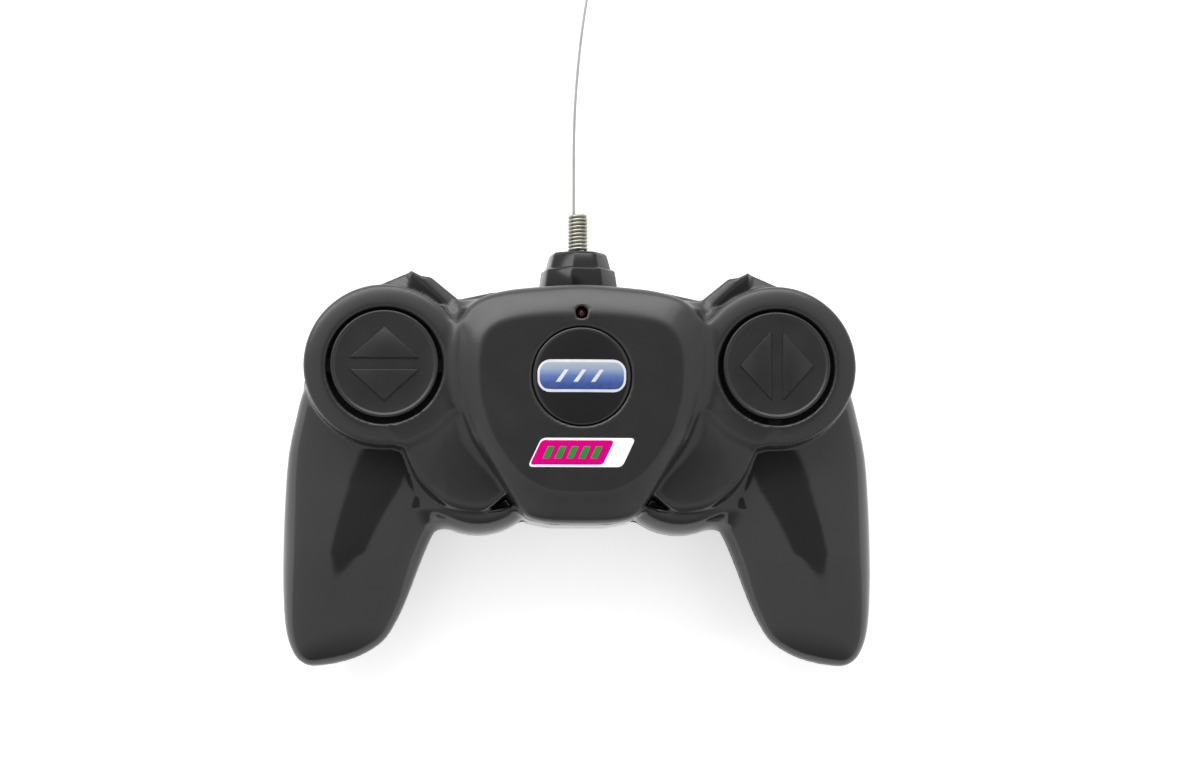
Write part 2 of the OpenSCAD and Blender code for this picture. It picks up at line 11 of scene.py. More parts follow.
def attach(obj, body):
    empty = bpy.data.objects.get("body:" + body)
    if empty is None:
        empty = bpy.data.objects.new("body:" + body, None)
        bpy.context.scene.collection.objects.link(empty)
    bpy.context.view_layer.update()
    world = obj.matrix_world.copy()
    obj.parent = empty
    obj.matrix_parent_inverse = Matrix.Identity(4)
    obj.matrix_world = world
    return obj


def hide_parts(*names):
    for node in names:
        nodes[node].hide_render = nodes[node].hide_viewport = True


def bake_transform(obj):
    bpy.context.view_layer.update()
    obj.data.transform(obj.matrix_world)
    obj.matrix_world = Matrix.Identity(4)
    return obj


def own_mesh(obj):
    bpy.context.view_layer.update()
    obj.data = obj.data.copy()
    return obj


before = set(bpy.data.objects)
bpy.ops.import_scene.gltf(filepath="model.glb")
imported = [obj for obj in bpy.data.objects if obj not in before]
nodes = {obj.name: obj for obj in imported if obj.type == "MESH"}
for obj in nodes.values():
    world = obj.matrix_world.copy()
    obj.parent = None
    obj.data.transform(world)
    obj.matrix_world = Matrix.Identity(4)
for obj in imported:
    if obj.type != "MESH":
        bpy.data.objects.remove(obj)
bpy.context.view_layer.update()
MM = 0.001

# ---------------------------------------------------------------- sizes, mm
SPLIT = 17.0
WALL = 2.2
BOSS = (49.4, 7.4)
BOSS_R = 20.35
BOSS_Z = 35.4
HOLE_R = 14.7
HOLE_DROP = 0.35
LOBE = (25.6, -16.9)
LOBE_R = 17.8
WING_Z = 31.0
PANEL_Z = 39.0
BOARD_TOP = 24.8
ROCKER_R = 13.5
ROCKER_Z = 36.2
PIVOT_Z = 29.3
PUSHER_AT = 9.0
BADGE_Y = 4.2
BADGE_R = 12.3
BADGE_LOW_Z = 37.4
DOME_R = 93.0
DOME_Z = PANEL_Z - 0.1 + 0.85 - DOME_R
LED_Y = 20.3
LED_HOLE_R = 1.58
LABEL_Y = -15.0
KNOB_LOW_Y = 28.0
SPRING_LOW_Y = 38.0

# Battery bay in the rear shell, the recess of its door and the door's hinge.
BAY_HALF_W = 26.7
BAY_HALF_H = 13.7
BAY_Z = 19.8
BAY_WALL = 1.5
RECESS_Z = 1.75
HINGE = (16.15, 0.8)
KNUCKLE_X = 18.0
KNUCKLE_HALF = 3.6

# Posts in the right half: x, y, height at which the post ends.
SHELL_SCREWS = [(62, -49, 25.6), (49, -20.5, 27.2), (18, 20.6, 36.8)]
BOARD_POSTS = [(26, 15, 36), (26, -15, 30)]
RING_POSTS = [(BOSS[0] + 15.9 * math.cos(math.radians(a)), BOSS[1] + 15.9 * math.sin(math.radians(a)), 34)
              for a in (45, 135, 225, 315)]

# ---------------------------------------------------------------- plan outlines, right half, mm
GRIP = [(70.3, 2), (72, -4.6), (73.9, -14.4), (74.7, -26.7), (75, -39), (74.95, -48), (74.5, -56.2),
        (73.5, -61.6), (71.6, -65.6), (69.2, -67.5), (66.6, -67.9), (61.8, -67.3), (56.4, -65.8),
        (51.8, -63.4), (48.6, -60.6), (45.8, -55.9), (43.4, -50.5), (40.2, -42), (37.8, -36.2),
        (35.7, -32.3), (31, -24), (27.5, -12), (30, 2), (42, 12), (58, 14), (67, 9)]
PANEL = [(0, 27.9), (9.8, 27.3), (18.8, 26.3), (25.5, 24.3), (29.1, 21.0), (30.3, 15.8), (30.6, 6.4),
         (29.8, -0.4), (27.7, -7.5), (24, -15.5), (18.4, -24.6), (14.9, -29.2), (12.8, -31.1),
         (6.9, -32.3)]
PLATEAU = [(0, 19.4), (11.7, 18.9), (20, 17.4), (24, 14.1), (25.4, 8.8), (25.4, 2), (24.8, -2.4),
           (22.5, -10.3), (18.4, -16.8), (14.5, -21), (11.4, -22.8), (6.4, -24.5)]
WING = [(0, 24.5), (21.7, 24.5), (35.5, 21.5), (49.3, -1.2), (46.4, -11.4), (44.6, -13.6), (42.8, -17.7),
        (40.9, -21.3), (38.2, -24.2), (34.7, -26.4), (30.6, -27.8), (26, -28.3), (22.9, -27.9),
        (20.6, -26.4), (18, -24.2), (9.9, -22.8)]
MIDDLE = [(0, 27.4), (12, 27.1), (22.4, 26.5), (33, 24.2), (36, 20), (36, -20), (24, -24), (15.2, -29.8),
          (12.8, -31.3), (7, -32.4)]
APEX = (42.9, 31.7)
SHOULDER = [(53, 27.4), APEX, (40.3, 30.4), (37.9, 30.2), (31.5, 25), (28.7, 22.3), (28.3, 19), (36, 7),
            (53, 12)]
NOTCH = [(22.8, -28.7), (18.6, -25.2), (16.8, -27.6)]


def mirrored(half):
    """A half outline followed by its mirror image."""
    return half + [(-x, y) for x, y in reversed(half) if x > 0]


def catmull(p, steps):
    """Smooth closed curve through the points."""
    out = []
    n = len(p)
    for i in range(n):
        a, b, c, d = (np.array(p[(i + k) % n], float) for k in (-1, 0, 1, 2))
        for j in range(steps):
            t = j / steps
            out.append(0.5 * (2 * b + (c - a) * t + (2 * a - 5 * b + 4 * c - d) * t * t
                              + (3 * b - a - 3 * c + d) * t ** 3))
    return np.array(out)


def depth(x, y, poly):
    """Smooth depth inside a closed outline, minus the plain distance outside it."""
    if sum(a[0] * b[1] - b[0] * a[1] for a, b in zip(poly, np.roll(poly, -1, 0))) < 0:
        poly = poly[::-1]
    potential = np.zeros_like(x)
    near = np.full_like(x, 1e9)
    odd = np.zeros(x.shape, bool)
    for a, b in zip(poly, np.roll(poly, -1, 0)):
        d = b - a
        length = math.hypot(*d)
        if length < 1e-6:
            continue
        tx, ty = d / length
        rx, ry = x - a[0], y - a[1]
        off = -rx * ty + ry * tx
        s = rx * tx + ry * ty
        near = np.minimum(near, off * off + (s - np.clip(s, 0, length)) ** 2)
        off = np.where(np.abs(off) < 1e-4, 1e-4, off)
        ends = (length - s) / np.sqrt(off * off + (length - s) ** 2) + s / np.sqrt(off * off + s * s)
        potential += ends / off
        if a[1] != b[1]:
            cross = (a[1] > y) != (b[1] > y)
            odd ^= cross & (x < a[0] + (y - a[1]) * d[0] / d[1])
    return np.where(odd, 2.0 / np.maximum(potential, 1e-6), -np.sqrt(near))


class Maps:
    """The outlines' depths on a fine half-plan grid, read back by interpolation."""
    X0, Y0, STEP, NX, NY = -1.0, -74.0, 0.25, 336, 452

    def __init__(self):
        x = self.X0 + self.STEP * np.arange(self.NX)
        y = self.Y0 + self.STEP * np.arange(self.NY)
        grid = np.meshgrid(x, y, indexing="ij")
        shapes = {
            "grip": catmull(GRIP, 3), "panel": catmull(mirrored(PANEL), 3),
            "plateau": catmull(mirrored(PLATEAU), 3), "wing": catmull(mirrored(WING), 3),
            "middle": np.array(mirrored(MIDDLE), float), "shoulder": np.array(SHOULDER, float)}
        self.maps = {name: depth(*grid, outline) for name, outline in shapes.items()}

    def read(self, name, ax, y):
        m = self.maps[name]
        u = np.clip((ax - self.X0) / self.STEP, 0, self.NX - 1.001)
        v = np.clip((y - self.Y0) / self.STEP, 0, self.NY - 1.001)
        i, j = u.astype(int), v.astype(int)
        u, v = u - i, v - j
        return (m[i, j] * (1 - u) * (1 - v) + m[i + 1, j] * u * (1 - v)
                + m[i, j + 1] * (1 - u) * v + m[i + 1, j + 1] * u * v)


MAPS = Maps()


# ---------------------------------------------------------------- fields: negative inside, mm
def ramp(v, start, end):
    """0 at start, 1 at end, straight in between and level beyond them."""
    return np.clip((v - start) / (end - start), 0, 1)


def smin(a, b, k):
    """The lower of two fields, blended where they differ by less than k."""
    h = np.maximum(k - np.abs(a - b), 0) / k
    return np.minimum(a, b) - h * h * k * 0.25


def smax(a, b, k):
    return -smin(-a, -b, k)


def panel_top(c):
    """Height of the centre panel: flat on the plateau, then falling to its outline."""
    share = np.clip(c["panel"] / np.maximum(c["panel"] - c["plateau"], 1e-3), 0, 1)
    share = np.where(c["plateau"] >= 0, 1.0, share)
    crisp = ramp(c["y"], -2, -14)
    return PANEL_Z - 3.8 * (1 - share) ** (1.7 - 0.4 * crisp)


def boss_top(c):
    rim = np.clip((c["boss"] - HOLE_R) / (BOSS_R - HOLE_R), 0, 1.2)
    return BOSS_Z - 0.3 * rim - 1.0 * rim ** 2


def wing_top(c):
    """Height of the wing, which climbs to the boss and sinks a little at the lobe's end."""
    near_boss = ramp(c["boss"], BOSS_R + 18, BOSS_R) * ramp(c["y"], 6, -4)
    return WING_Z + 3.0 * near_boss ** 2 - 1.2 * ramp(c["y"], -15, -28) ** 2


def shoulder_top(c):
    """Roof of the shoulder block: two slopes that meet in a ridge, and a facet beyond the apex."""
    dx, dy = c["ax"] - APEX[0], c["y"] - APEX[1]
    behind = -0.677 * dx + 0.736 * dy
    ridge = 30.7 - 0.38 * np.maximum(behind, 0) - 0.55 * np.maximum(-behind, 0)
    facet = 28.2 - 0.42 * (0.422 * dx + 0.907 * dy)
    side = ramp(c["ax"], 42.8, 43.8)
    return ridge * (1 - side) + facet * side


def grip_rise(c):
    """How far a grip stands in front of the parting plane, with its crest towards the outside."""
    rise = 11.2 + 0.8 * ramp(c["y"], -22, -40) - 3.4 * ramp(c["y"], -40, -67) ** 1.3
    along = np.clip((c["y"] + 41) / 28, -0.3, 1)
    return rise * (1 + (0.0115 * along - 0.0075) * (59.1 - 9.5 * along - c["ax"]))


def columns(x, y):
    """Everything in the fields that does not depend on height."""
    ax = np.abs(x)
    c = {"x": x, "y": y, "ax": ax}
    for name in MAPS.maps:
        c[name] = MAPS.read(name, ax, y)
    c["boss"] = np.hypot(ax - BOSS[0], y - BOSS[1])
    c["lobe"] = np.hypot(ax - LOBE[0], y - LOBE[1])
    c["panel_top"] = panel_top(c)
    c["boss_top"] = boss_top(c)
    c["wing_top"] = wing_top(c)
    c["shoulder_top"] = shoulder_top(c)
    c["grip_rise"] = grip_rise(c)
    return c


def pillow(d, a, h, z):
    """Rounded body over an outline whose depth is d: half width a, height h at the middle."""
    q = 1 - 2 * d / a
    e = (z / h) ** 2 + q
    g = 2 * np.sqrt((z / h ** 2) ** 2 + np.maximum(q, 0) / a ** 2)
    return (e - 1) / np.maximum(g, 0.05)


def rolled(r, radius, roll, h, z, power=2.0):
    """Round boss whose top rolls over into its side; a higher power makes it squarer."""
    a = np.maximum(r - (radius - roll), 0) / roll
    b = np.maximum(z, 0) / h
    return ((a ** power + b ** power) ** (1 / power) - 1) * np.minimum(roll, h)


def outside_corners(c, corners):
    """Distance outside a convex outline given counter-clockwise; negative inside it."""
    far = -np.inf
    for (x0, y0), (x1, y1) in zip(corners, corners[1:] + corners[:1]):
        d = (c["ax"] - x0) * (y1 - y0) - (c["y"] - y0) * (x1 - x0)
        far = np.maximum(far, d / math.hypot(x1 - x0, y1 - y0))
    return far


def slab(v, low, high):
    """Negative where v is between low and high."""
    return np.maximum(low - v, v - high)


def box(c, z, across, along, up):
    """Box that is mirrored in x: across gives its two distances from the middle."""
    return np.maximum(np.maximum(slab(c["ax"], *across), slab(c["y"], *along)), slab(z, *up))


def middle_box(c, z, half_w, along, up):
    return box(c, z, (-1, half_w), along, up)


def post(c, z, x, y, r, low, high):
    return np.maximum(np.hypot(c["ax"] - x, c["y"] - y) - r, slab(z, low, high))


def front_outer(c, z):
    """Outside of the front shell, as a solid."""
    up = z - SPLIT
    y, ax = c["y"], c["ax"]
    grip = pillow(c["grip"], 17.5, c["grip_rise"], up)
    lobe_h = 13.0 - 2.6 * np.minimum(c["lobe"] / LOBE_R, 1.1) ** 2
    lobe = rolled(c["lobe"], LOBE_R, 5.0, lobe_h, up, 2.6)
    web = ramp(y, -25.5, -28.5) * ramp(y, -36, -32) * ramp(ax, 45, 42)
    low = smin(grip, lobe, 2.2 + 3.0 * web)
    boss = smax(c["boss"] - BOSS_R, (z - c["boss_top"]) * 0.95, 1.1)
    wing = smax(-c["wing"], z - c["wing_top"], 1.8)
    panel = smax(-c["panel"], (z - c["panel_top"]) * 0.8, 1.3)
    shoulder = smax(-c["shoulder"], (z - c["shoulder_top"]) * 0.8, 0.5)
    middle = smax(-c["middle"], z - 28.0, 0.8)
    f = smin(smin(boss, wing, 2.5), low, 0.9 + 1.3 * ramp(ax, 38, 34))
    f = smin(f, panel, 0.9 + 4.0 * ramp(y, -21, -11) * ramp(y, 25, 22))
    f = smin(smin(f, shoulder, 0.7), middle, 0.9)
    notch = np.maximum(outside_corners(c, NOTCH), 23.5 - z)
    return smax(f, -notch, 0.8)


def rear_outer(c, z):
    """Outside of the rear shell, as a solid, with the flat foot round the battery door."""
    down = SPLIT - z
    grip = pillow(c["grip"], 17.5, 16.3, down)
    lobe = rolled(c["lobe"], LOBE_R, 9, 14, down)
    boss = rolled(c["boss"], BOSS_R, 8, 14, down)
    middle = smax(-c["middle"], 3.0 - z, 6.0)
    shoulder = smax(-c["shoulder"], 7.0 - z, 3.0)
    f = smin(smin(smin(grip, lobe, 3.0), boss, 2.0), middle, 2.0)
    f = smin(f, shoulder, 1.5)
    foot = smax(smax(c["ax"] - 35, np.abs(c["y"]) - 22, 4.0), -z, 2.2)
    return smin(f, foot, 1.6)


def antenna_seat(c, z):
    """Room for the antenna socket, its collar and the stud."""
    r = np.hypot(c["x"], z - SPLIT)
    y = c["y"]
    f = np.maximum(r - 3.62, slab(y, 15.6, 25.5))
    f = np.minimum(f, np.maximum(r - 5.1, slab(y, 20.7, 22.5)))
    return np.minimum(f, np.maximum(r - 2.1, 24.4 - y))


def front_field(c, z):
    outer = front_outer(c, z)
    f = smax(outer, SPLIT - z, 0.7)
    f = np.maximum(f, -(outer + WALL))
    posts = middle_box(c, z, 6, (18.8, 26.8), (SPLIT, 22.6))
    for x, y, top in SHELL_SCREWS:
        bored = np.maximum(post(c, z, x, y, 3, SPLIT, top), -post(c, z, x, y, 1.4, 0, SPLIT + 5.1))
        posts = np.minimum(posts, bored)
    for x, y, top in BOARD_POSTS:
        posts = np.minimum(posts, post(c, z, x, y, 2.2, BOARD_TOP, top))
    for x, y, top in RING_POSTS:
        posts = np.minimum(posts, post(c, z, x, y, 1.8, 28.4, top))
    f = np.minimum(f, np.maximum(posts, outer + 0.5))
    f = smax(f, HOLE_R - np.hypot(c["ax"] - BOSS[0], c["y"] - BOSS[1] + HOLE_DROP), 0.4)
    badge = np.hypot(c["x"], c["y"] - BADGE_Y)
    f = smax(f, -np.maximum(badge - BADGE_R - 0.25, BADGE_LOW_Z - z), 0.5)
    led = np.hypot(c["x"], c["y"] - LED_Y)
    f = np.maximum(f, -np.maximum(led - LED_HOLE_R, 30.0 - z))
    return np.maximum(f, -antenna_seat(c, z))


def battery_bay(c, z, wall):
    """The bay's hollow, or its outside with a wall."""
    w, h = BAY_HALF_W + wall, BAY_HALF_H + wall
    low = 2.0 if wall else -5.0
    return middle_box(c, z, w, (-h, h), (low, BAY_Z + wall))


def rear_field(c, z):
    outer = rear_outer(c, z)
    f = smax(outer, z - SPLIT, 0.7)
    f = np.maximum(f, -(outer + WALL))
    hollow = battery_bay(c, z, 0)
    added = [np.maximum(battery_bay(c, z, BAY_WALL), -hollow),
             middle_box(c, z, 32, (-19.4, 18.35), (1.0, 3.6)),
             middle_box(c, z, 6, (18.8, 26.8), (2.0, SPLIT))]
    added += [post(c, z, x, y, 3.8, 4.0, SPLIT) for x, y, _ in SHELL_SCREWS]
    added = reduce(np.minimum, added)
    f = np.minimum(f, np.maximum(added, np.where(z < SPLIT, outer + 0.5, added)))
    pin = np.hypot(c["y"] - HINGE[0], z - HINGE[1]) - 0.83
    knuckle = (KNUCKLE_X - KNUCKLE_HALF, KNUCKLE_X + KNUCKLE_HALF)
    cut = [hollow,
           middle_box(c, z, 30.3, (-17.7, 15.95), (-5, RECESS_Z)),
           box(c, z, knuckle, (14.3, HINGE[0]), (-5, RECESS_Z)),
           box(c, z, knuckle, (14.3, HINGE[0] + 0.9), (-5, HINGE[1])),
           np.maximum(pin, slab(c["ax"], *knuckle)),
           np.maximum(np.hypot(c["x"], c["y"] + 19) - 6, z - RECESS_Z)]
    for x, y, _ in SHELL_SCREWS:
        cut += [post(c, z, x, y, 1.5, -5, 30), post(c, z, x, y, 2.9, -5, 10)]
    cut = reduce(np.minimum, cut)
    f = smax(f, -cut, 0.25)
    return np.maximum(f, -antenna_seat(c, z))


# ---------------------------------------------------------------- meshes from the fields
CORNERS = [(i, j, k) for i in (0, 1) for j in (0, 1) for k in (0, 1)]
NUDGE = 0.02


def sampled(field, lo, hi, step):
    """The field on a grid, worked out for x > 0 and mirrored, and the grid's lowest corner."""
    half = np.arange(0.5, math.ceil(hi[0] / step) + 1) * step
    y, z = (np.arange(lo[k], hi[k] + step, step) for k in (1, 2))
    c = {name: v[:, :, None] for name, v in columns(half[:, None], y[None, :]).items()}
    vals = np.broadcast_to(field(c, z[None, None, :]), (len(half), len(y), len(z)))
    return np.concatenate([vals[::-1], vals]), np.array([-half[-1], y[0], z[0]])


def cell_points(vals, cells):
    """For each cell, the mean of the points where the surface crosses its edges, in grid steps."""
    pos = np.zeros((len(cells), 3))
    count = np.zeros(len(cells))
    for corner in CORNERS:
        for k in range(3):
            if corner[k]:
                continue
            across = [corner[i] + (i == k) for i in range(3)]
            fa, fb = (vals[tuple((cells + p).T)] for p in (corner, across))
            hit = (fa < 0) != (fb < 0)
            pos[hit] += (cells + corner)[hit]
            pos[hit, k] += (fa / np.where(hit, fa - fb, 1))[hit]
            count += hit
    return pos / count[:, None]


def cell_faces(inside, index):
    """One quad for each grid edge that the surface crosses, turned outwards."""
    quads = []
    for k in range(3):
        u, v = (k + 1) % 3, (k + 2) % 3
        near = [slice(1, -1)] * 3
        near[k] = slice(0, -1)
        far = list(near)
        far[k] = slice(1, None)
        a, b = inside[tuple(near)], inside[tuple(far)]
        for flip, mask in ((False, a & ~b), (True, ~a & b)):
            at = np.argwhere(mask)
            at[:, [u, v]] += 1
            ring = []
            for du, dv in ((-1, -1), (0, -1), (0, 0), (-1, 0)):
                q = at.copy()
                q[:, u] += du
                q[:, v] += dv
                ring.append(index[tuple(q.T)])
            quads.append(np.stack(ring[::-1] if flip else ring, 1))
    return np.concatenate(quads)


def settled(field, start, step):
    """Moves the points onto the surface by Newton's method, each of them less than a cell."""
    def value(p):
        return field(columns(p[:, 0], p[:, 1]), p[:, 2])

    pos = start
    for _ in range(4):
        slope = np.stack([value(pos + e) - value(pos - e) for e in NUDGE * np.eye(3)], 1) / (2 * NUDGE)
        move = -value(pos)[:, None] * slope / np.maximum((slope ** 2).sum(1), 0.04)[:, None]
        pos = start + np.clip(pos + move - start, -0.6 * step, 0.6 * step)
    return pos


def surface(field, lo, hi, step):
    """Closed quad mesh of field = 0, as vertices and faces in mm."""
    vals, origin = sampled(field, lo, hi, step)
    inside = vals < 0
    nx, ny, nz = (n - 1 for n in inside.shape)
    count = sum(inside[i:nx + i, j:ny + j, k:nz + k].astype(np.int8) for i, j, k in CORNERS)
    active = (count > 0) & (count < len(CORNERS))
    index = np.full(active.shape, -1, np.int64)
    index[active] = np.arange(active.sum())
    pos = origin + cell_points(vals, np.argwhere(active)) * step
    return settled(field, pos, step), cell_faces(inside, index)


def mesh_object(name, verts, faces):
    me = bpy.data.meshes.new(name)
    me.from_pydata((np.asarray(verts) * MM).tolist(), [], [tuple(int(i) for i in f) for f in faces])
    me.validate()
    me.update()
    me.shade_smooth()
    ob = bpy.data.objects.new(name, me)
    bpy.context.scene.collection.objects.link(ob)
    return ob


# ---------------------------------------------------------------- materials
class Graph:
    """Short way to make and join shader nodes."""

    def __init__(self, tree):
        self.tree = tree
        self.coord = tree.nodes.new("ShaderNodeTexCoord")

    def node(self, kind, **props):
        n = self.tree.nodes.new(kind)
        for k, v in props.items():
            if k in n.inputs:
                n.inputs[k].default_value = v
            else:
                setattr(n, k, v)
        return n

    def link(self, a, b):
        self.tree.links.new(a, b)

    def split(self, space):
        """X, Y and Z of the texture coordinates in a space."""
        n = self.node("ShaderNodeSeparateXYZ")
        self.link(self.coord.outputs[space], n.inputs[0])
        return n.outputs

    def maths(self, operation, a, b):
        n = self.node("ShaderNodeMath", operation=operation)
        for socket, v in zip(n.inputs, (a, b)):
            if isinstance(v, float):
                socket.default_value = v
            else:
                self.link(v, socket)
        return n.outputs[0]

    def span(self, value, lo, hi, a=0.3, b=0.7):
        """Maps value from the range a to b onto lo to hi."""
        n = self.node("ShaderNodeMapRange")
        for k, v in (("From Min", a), ("From Max", b), ("To Min", lo), ("To Max", hi)):
            n.inputs[k].default_value = v
        self.link(value, n.inputs["Value"])
        return n.outputs[0]


class Nodes(Graph):
    """A material with one principled shader."""

    def __init__(self, name):
        self.mat = bpy.data.materials.new(name)
        self.mat.use_nodes = True
        self.mat.node_tree.nodes.clear()
        super().__init__(self.mat.node_tree)
        self.bsdf = self.node("ShaderNodeBsdfPrincipled")
        self.link(self.bsdf.outputs[0], self.node("ShaderNodeOutputMaterial").inputs[0])

    def set(self, **values):
        for k, v in values.items():
            self.bsdf.inputs[k.replace("_", " ")].default_value = v

    def noise(self, scale, detail=3.0):
        n = self.node("ShaderNodeTexNoise", Scale=scale, Detail=detail, Roughness=0.55)
        self.link(self.coord.outputs["Object"], n.inputs["Vector"])
        return n.outputs[0]

    def mix(self, factor, a, b):
        n = self.node("ShaderNodeMix", data_type="RGBA")
        self.link(factor, n.inputs[0])
        for socket, v in ((n.inputs[6], a), (n.inputs[7], b)):
            if isinstance(v, tuple):
                socket.default_value = (*v, 1)
            else:
                self.link(v, socket)
        return n.outputs[2]

    def colour(self, a, b, scale, detail=3.0):
        """Base colour that drifts between a and b in patches of a noise."""
        self.link(self.mix(self.span(self.noise(scale, detail), 0, 1), a, b), self.bsdf.inputs["Base Color"])

    def roughness(self, low, high, scale, detail=3.0):
        self.link(self.span(self.noise(scale, detail), low, high), self.bsdf.inputs["Roughness"])

    def bump(self, height, strength, distance):
        """Bump from a height; distance is in metres."""
        n = self.node("ShaderNodeBump", Strength=strength, Distance=distance)
        self.link(height, n.inputs["Height"])
        self.link(n.outputs[0], self.bsdf.inputs["Normal"])


def moulded(name, dark, light, rough, grain=0.12, spec=0.5):
    """Moulded plastic: faint colour drift, fine spark-eroded grain and rubbed patches."""
    m = Nodes(name)
    m.colour(dark, light, 38.0, 2.0)
    m.roughness(rough - 0.03, rough + 0.03, 160.0, 4.0)
    m.set(Specular_IOR_Level=spec, IOR=1.5)
    m.bump(m.noise(3800.0, 2.0), grain, 0.00004)
    return m.mat


def shell_material():
    """Black casing: satin on the raised top and the antenna side, polished on the grips below."""
    m = Nodes("shell_plastic")
    m.colour((0.018, 0.018, 0.0187), (0.022, 0.022, 0.0227), 38.0, 2.0)
    place = m.split("Object")
    raised = m.span(place[2], 0.0, 1.0, 29.4 * MM, 30.6 * MM)
    back = m.span(place[1], 0.0, 1.0, 13 * MM, 20 * MM)
    satin = m.span(m.maths("MAXIMUM", raised, back), 0.1, 0.33, 0.0, 1.0)
    drift = m.span(m.noise(160.0, 4.0), -0.02, 0.02)
    m.link(m.maths("ADD", satin, drift), m.bsdf.inputs["Roughness"])
    m.set(Specular_IOR_Level=0.5, IOR=1.5)
    m.bump(m.noise(3800.0, 2.0), 0.08, 0.00004)
    return m.mat


def metal(name, dark, light, rough):
    m = Nodes(name)
    m.colour(dark, light, 220.0)
    m.roughness(rough - 0.06, rough + 0.08, 900.0)
    m.set(Metallic=1.0)
    m.bump(m.noise(2600.0, 2.0), 0.1, 0.00003)
    return m.mat


def film(name, a, b):
    """Printed label film."""
    m = Nodes(name)
    m.colour(a, b, 400.0)
    m.roughness(0.25, 0.35, 800.0)
    m.set(Specular_IOR_Level=0.05)
    m.bump(m.noise(1500.0), 0.05, 0.00002)
    return m.mat


def board_material():
    m = Nodes("board_laminate")
    weave = m.node("ShaderNodeTexBrick", Scale=260.0)
    weave.inputs["Color1"].default_value = (0.012, 0.12, 0.04, 1)
    weave.inputs["Color2"].default_value = (0.015, 0.14, 0.05, 1)
    weave.inputs["Mortar"].default_value = (0.03, 0.2, 0.08, 1)
    m.link(m.coord.outputs["Object"], weave.inputs["Vector"])
    m.link(weave.outputs["Color"], m.bsdf.inputs["Base Color"])
    m.roughness(0.28, 0.4, 500.0)
    m.bump(weave.outputs["Fac"], 0.2, 0.00003)
    return m.mat


def resistor_material():
    """Tan body with red bands."""
    m = Nodes("resistor_body")
    wave = m.node("ShaderNodeTexWave", Scale=420.0, bands_direction="Y")
    m.link(m.coord.outputs["Object"], wave.inputs["Vector"])
    band = m.span(wave.outputs["Fac"], 0, 1, 0.6, 0.75)
    m.link(m.mix(band, (0.62, 0.47, 0.28), (0.4, 0.07, 0.03)), m.bsdf.inputs["Base Color"])
    m.roughness(0.3, 0.4, 700.0)
    m.bump(m.noise(1500.0), 0.1, 0.00003)
    return m.mat


def led_material():
    m = Nodes("led_epoxy")
    m.colour((0.045, 0.006, 0.011), (0.075, 0.009, 0.015), 300.0)
    m.roughness(0.12, 0.2, 900.0)
    m.set(Coat_Weight=0.5, Coat_Roughness=0.05)
    m.bump(m.noise(1400.0), 0.05, 0.00002)
    return m.mat


def battery_material():
    """Printed sleeve: dark body with a warm band at one end."""
    m = Nodes("battery_can")
    band = m.span(m.split("Object")[0], 0, 1, 9.8 * MM, 10.2 * MM)
    dark = m.mix(m.span(m.noise(240.0), 0, 1), (0.02, 0.021, 0.026), (0.03, 0.031, 0.037))
    m.link(m.mix(band, dark, (0.55, 0.25, 0.04)), m.bsdf.inputs["Base Color"])
    m.roughness(0.22, 0.34, 600.0)
    m.set(Metallic=0.4)
    m.bump(m.noise(1800.0), 0.06, 0.00003)
    return m.mat


def badge_label_material():
    """Fade from blue at the bottom to silver at the top."""
    m = Nodes("label_film")
    ramp_node = m.node("ShaderNodeValToRGB")
    stops = ((0.0, (0.035, 0.06, 0.22)), (0.25, (0.04, 0.08, 0.29)), (0.5, (0.1, 0.17, 0.4)),
             (0.72, (0.29, 0.36, 0.48)), (1.0, (0.4, 0.42, 0.45)))
    elements = ramp_node.color_ramp.elements
    for at, _ in stops[1:-1]:
        elements.new(at)
    for element, (at, colour) in zip(elements, stops):
        element.position = at
        element.color = (*colour, 1)
    height = m.span(m.split("Object")[1], 0, 1, (BADGE_Y - 4) * MM, (BADGE_Y + 4) * MM)
    m.link(height, ramp_node.inputs[0])
    speck = m.span(m.noise(900.0), 0, 0.05)
    m.link(m.mix(speck, ramp_node.outputs[0], (0.55, 0.57, 0.6)), m.bsdf.inputs["Base Color"])
    m.roughness(0.2, 0.3, 700.0)
    m.set(Specular_IOR_Level=0.12)
    m.bump(m.noise(1500.0), 0.04, 0.00002)
    return m.mat


SHELL = shell_material()
PAD = moulded("pad_plastic", (0.0145, 0.0145, 0.0155), (0.018, 0.018, 0.019), 0.36)
DOOR = moulded("door_plastic", (0.018, 0.018, 0.0187), (0.022, 0.022, 0.0227), 0.33)
KNOB = moulded("knob_plastic", (0.009, 0.009, 0.0095), (0.012, 0.012, 0.0125), 0.17, 0.05, 0.3)
BADGE = moulded("badge_plastic", (0.017, 0.017, 0.018), (0.02, 0.02, 0.021), 0.1, 0.02)
RETAINER = moulded("retainer_plastic", (0.009, 0.009, 0.0095), (0.012, 0.012, 0.0125), 0.5)
RUBBER = moulded("silicone", (0.52, 0.52, 0.49), (0.6, 0.6, 0.57), 0.6)
EPOXY = moulded("chip_epoxy", (0.02, 0.02, 0.02), (0.028, 0.028, 0.03), 0.5)
SLEEVE = moulded("capacitor_sleeve", (0.01, 0.012, 0.08), (0.015, 0.018, 0.11), 0.25)
CERAMIC = moulded("ceramic", (0.45, 0.17, 0.035), (0.55, 0.23, 0.05), 0.35)
RED = moulded("red_wire", (0.45, 0.01, 0.01), (0.52, 0.015, 0.012), 0.35)
BLACK = moulded("black_wire", (0.012, 0.012, 0.012), (0.017, 0.017, 0.017), 0.4)
BLUE = moulded("blue_wire", (0.015, 0.03, 0.3), (0.02, 0.04, 0.36), 0.35)
NICKEL = metal("spring_steel", (0.3, 0.29, 0.25), (0.42, 0.405, 0.35), 0.34)
WIRE = metal("wire_steel", (0.42, 0.42, 0.41), (0.5, 0.5, 0.49), 0.5)
